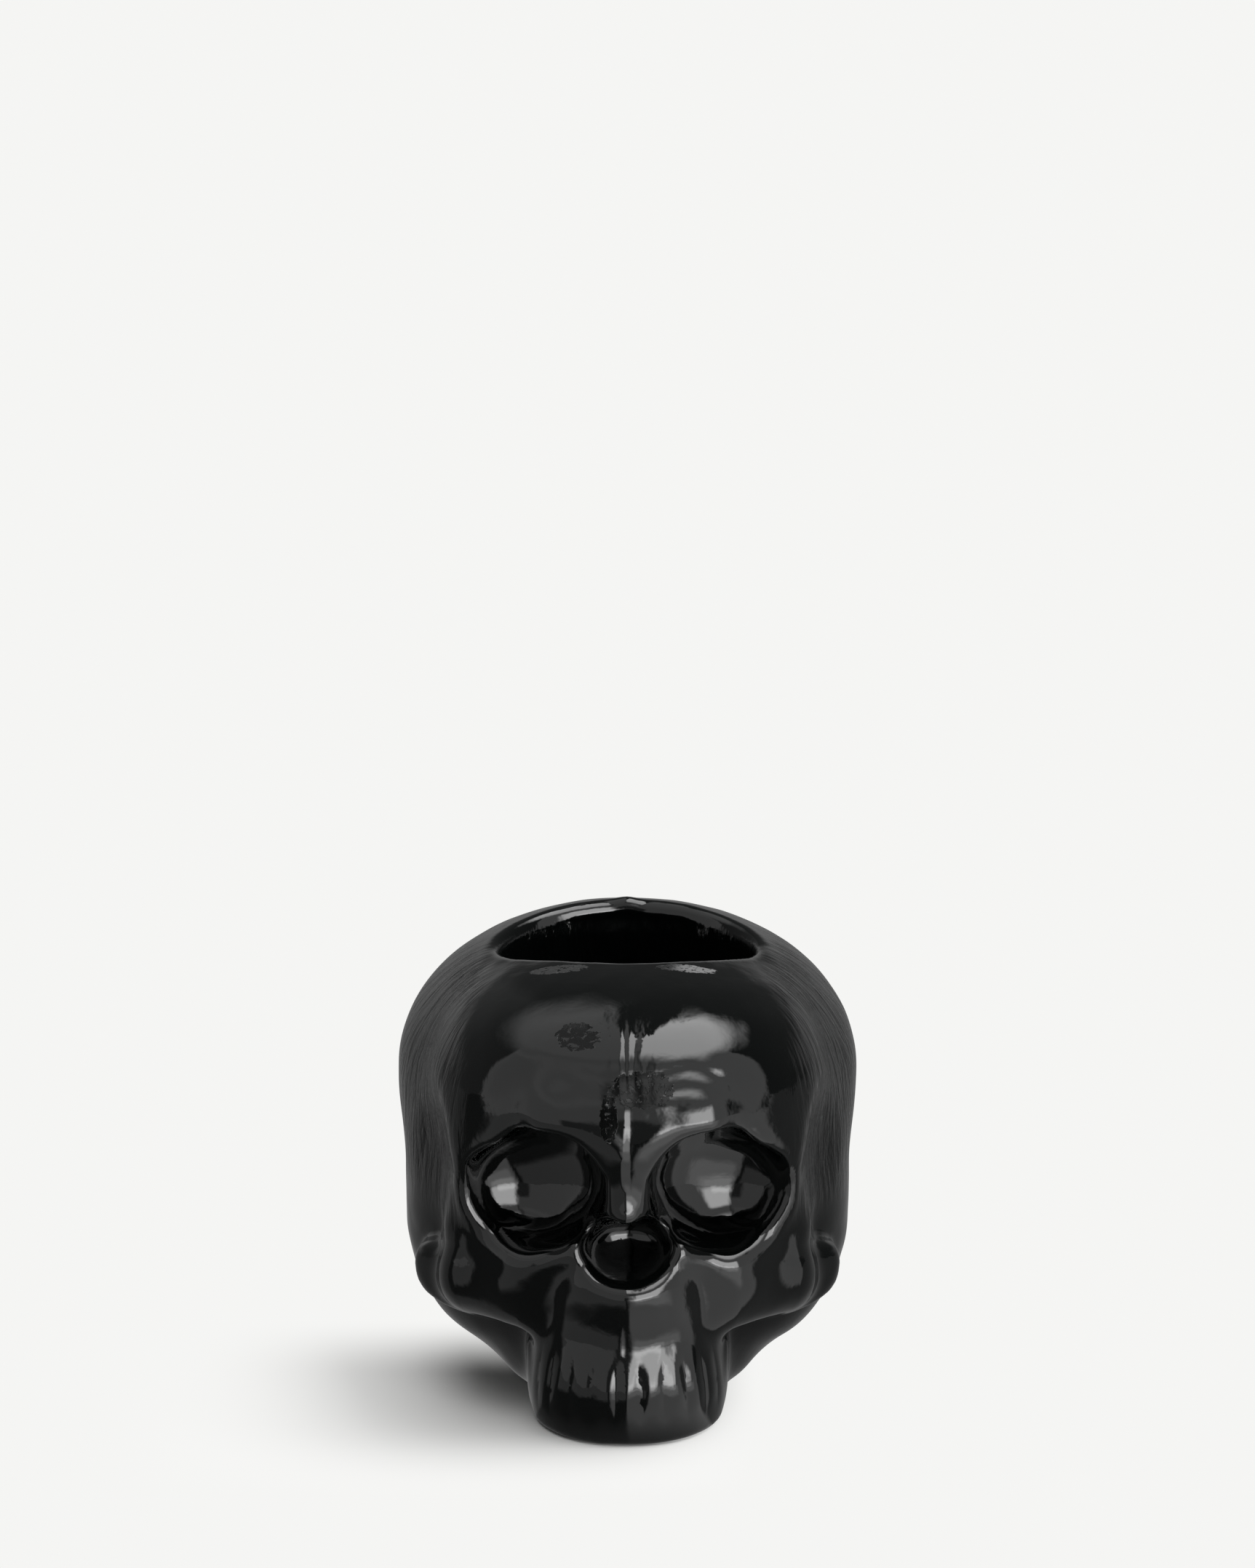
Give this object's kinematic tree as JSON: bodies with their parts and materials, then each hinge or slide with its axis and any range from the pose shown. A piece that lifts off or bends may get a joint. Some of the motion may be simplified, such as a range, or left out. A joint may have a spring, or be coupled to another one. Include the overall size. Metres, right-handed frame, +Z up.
{
  "type": "skull candle holder",
  "caption": "Candle holder shaped as a human skull without a lower jaw, pressed in glossy black glass, with an oval candle well open at the crown.",
  "frame": {"origin": "on the flat base, in the plane of symmetry, below the front part of the candle well", "axes": "+Z up, -Y the way the face looks, +X to the side, square to the plane of symmetry"},
  "size_m": [0.105, 0.1377, 0.0955],
  "materials": {
    "black_glass": "gloss"
  },
  "bodies": {
    "root": {"skull": "black_glass"}
  },
  "joints": []
}
